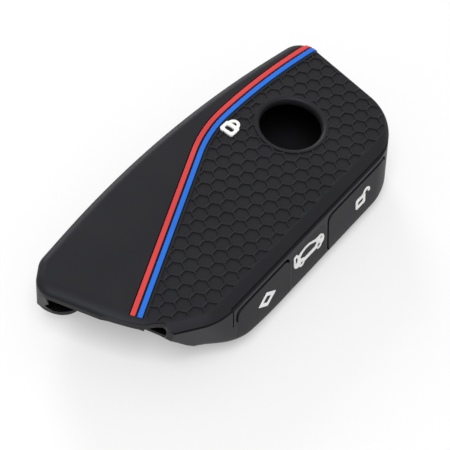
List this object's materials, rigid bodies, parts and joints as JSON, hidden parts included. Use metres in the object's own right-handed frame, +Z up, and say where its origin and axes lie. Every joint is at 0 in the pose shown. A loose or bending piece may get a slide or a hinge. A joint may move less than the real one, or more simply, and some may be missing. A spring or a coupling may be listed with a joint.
{
  "type": "key fob cover",
  "caption": "Soft sleeve cover for a car key fob with a honeycomb top, a red and a blue stripe, a round window and sprung side pads.",
  "frame": {"origin": "below the middle of the cover, on the table that its underside lies on", "axes": "+X across the cover towards the pads, +Y along it towards the closed far end, +Z up through the patterned face"},
  "size_m": [0.0404, 0.0889, 0.0174],
  "materials": {
    "cover_black": "matt silicone",
    "pad_grey": "matt silicone",
    "stripe_red": "matt silicone",
    "stripe_blue": "matt silicone",
    "sign_white": "matt silicone"
  },
  "bodies": {
    "cover": {"sleeve": "cover_black", "red_stripe": "stripe_red", "blue_stripe": "stripe_blue", "lock_sign": "sign_white"},
    "locate_button": {"locate_pad": "pad_grey", "locate_sign": "sign_white"},
    "boot_button": {"boot_pad": "pad_grey", "boot_sign": "sign_white"},
    "unlock_button": {"unlock_pad": "pad_grey", "unlock_sign": "sign_white"}
  },
  "joints": [
    {"name": "locate_press", "type": "slide", "parent": "cover", "child": "locate_button", "axis": [-1, 0, 0], "range_m": [0, 0.0006], "stiffness_N_per_m": 1500},
    {"name": "boot_press", "type": "slide", "parent": "cover", "child": "boot_button", "axis": [-1, 0, 0], "range_m": [0, 0.0006], "stiffness_N_per_m": 1500},
    {"name": "unlock_press", "type": "slide", "parent": "cover", "child": "unlock_button", "axis": [-1, 0, 0], "range_m": [0, 0.0006], "stiffness_N_per_m": 1500}
  ]
}
